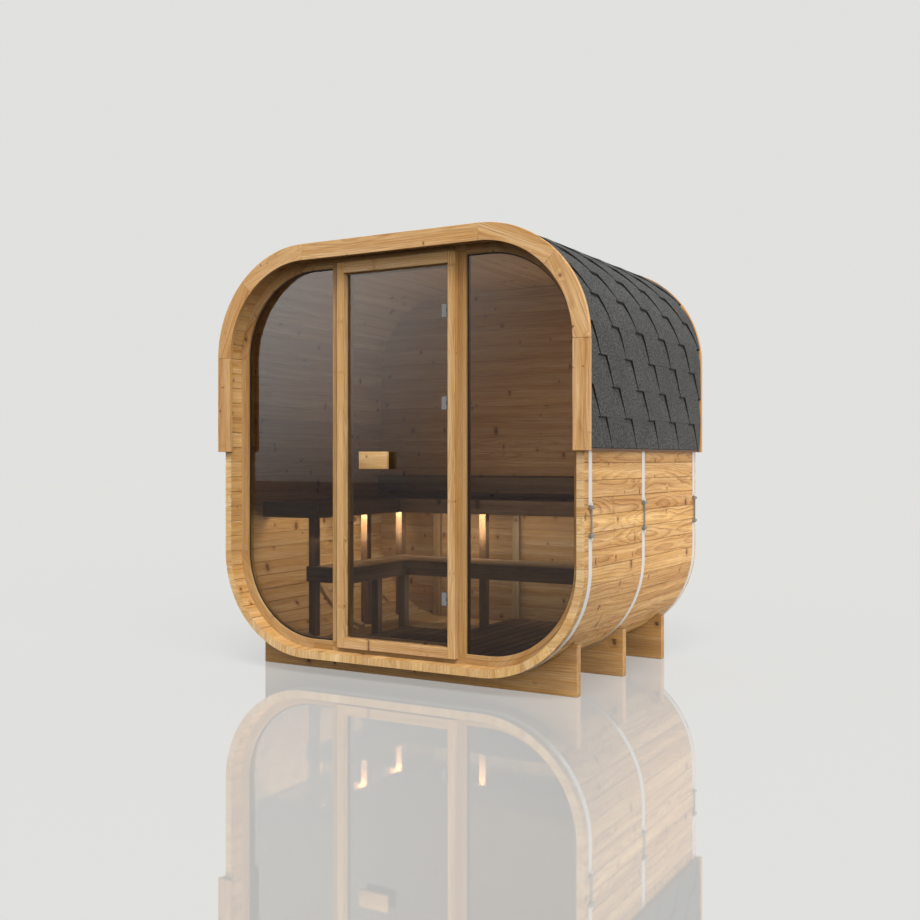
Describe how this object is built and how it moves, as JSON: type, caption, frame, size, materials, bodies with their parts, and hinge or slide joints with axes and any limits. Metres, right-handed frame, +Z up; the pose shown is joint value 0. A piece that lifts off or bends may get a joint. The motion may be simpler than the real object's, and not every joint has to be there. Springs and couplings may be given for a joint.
{
  "type": "cube sauna cabin",
  "caption": "Garden sauna cabin with a rounded square stave shell, glazed front with an opening glass door, shingled roof, steel bands, cradles and benches.",
  "frame": {"origin": "on the ground, under the middle of the cabin", "axes": "+Z up, the glazed front with the door faces -Y, +X to the right seen from the front"},
  "size_m": [2.2, 1.634, 2.25],
  "materials": {
    "stave_wood": "planed light softwood with knots, clear oil",
    "trim_wood": "planed light softwood, clear oil",
    "frame_wood": "planed light softwood with small knots, clear oil",
    "cradle_wood": "planed light softwood, clear oil",
    "bench_wood": "planed heat treated softwood, untreated",
    "duckboard_wood": "dark heat treated softwood, untreated",
    "eaves_wood": "brown stained batten",
    "shingle": "bitumen shingles with dark grey mineral granules",
    "band_steel": "stainless band with threaded tensioners",
    "hinge_steel": "satin stainless",
    "lamp_metal": "small lamp with a warm lens",
    "window_glass": "bronze tinted tempered glass",
    "door_leaf_glass": "bronze tinted tempered glass"
  },
  "bodies": {
    "cabin": {"floor_shell": "stave_wood", "ceiling_shell": "stave_wood", "wall_left": "stave_wood", "wall_right": "stave_wood", "corner_lower_left": "stave_wood", "corner_lower_right": "stave_wood", "corner_upper_left": "stave_wood", "corner_upper_right": "stave_wood", "back_wall": "stave_wood", "cradle_front": "cradle_wood", "cradle_middle": "cradle_wood", "cradle_back": "cradle_wood", "strap_front": "band_steel", "strap_middle": "band_steel", "strap_back": "band_steel", "roof_left": "shingle", "roof_top": "shingle", "roof_right": "shingle", "eaves_battens": "eaves_wood", "front_trim": "trim_wood", "back_trim": "trim_wood", "glazing_frame": "frame_wood", "mullion_left": "frame_wood", "mullion_right": "frame_wood", "jamb_left": "frame_wood", "jamb_right": "frame_wood", "door_head": "frame_wood", "door_sill": "frame_wood", "window_left": "window_glass", "window_right": "window_glass", "jamb_hinges": "hinge_steel", "upper_bench_top": "bench_wood", "upper_bench_fascia": "bench_wood", "upper_bench_bearers": "bench_wood", "upper_bench_posts": "bench_wood", "lower_bench_top": "bench_wood", "lower_bench_fascia": "bench_wood", "lower_bench_frame": "bench_wood", "backrest": "bench_wood", "wall_battens": "bench_wood", "bench_lamps": "lamp_metal", "duckboards": "duckboard_wood"},
    "door": {"door_glass": "door_leaf_glass", "door_handle": "frame_wood", "door_clamps": "hinge_steel"}
  },
  "joints": [
    {"name": "door_hinge", "type": "hinge", "parent": "cabin", "child": "door", "pos_m": [0.306, -0.719, 1.1445], "axis": [0, 0, 1], "range_deg": [0, 100]}
  ]
}
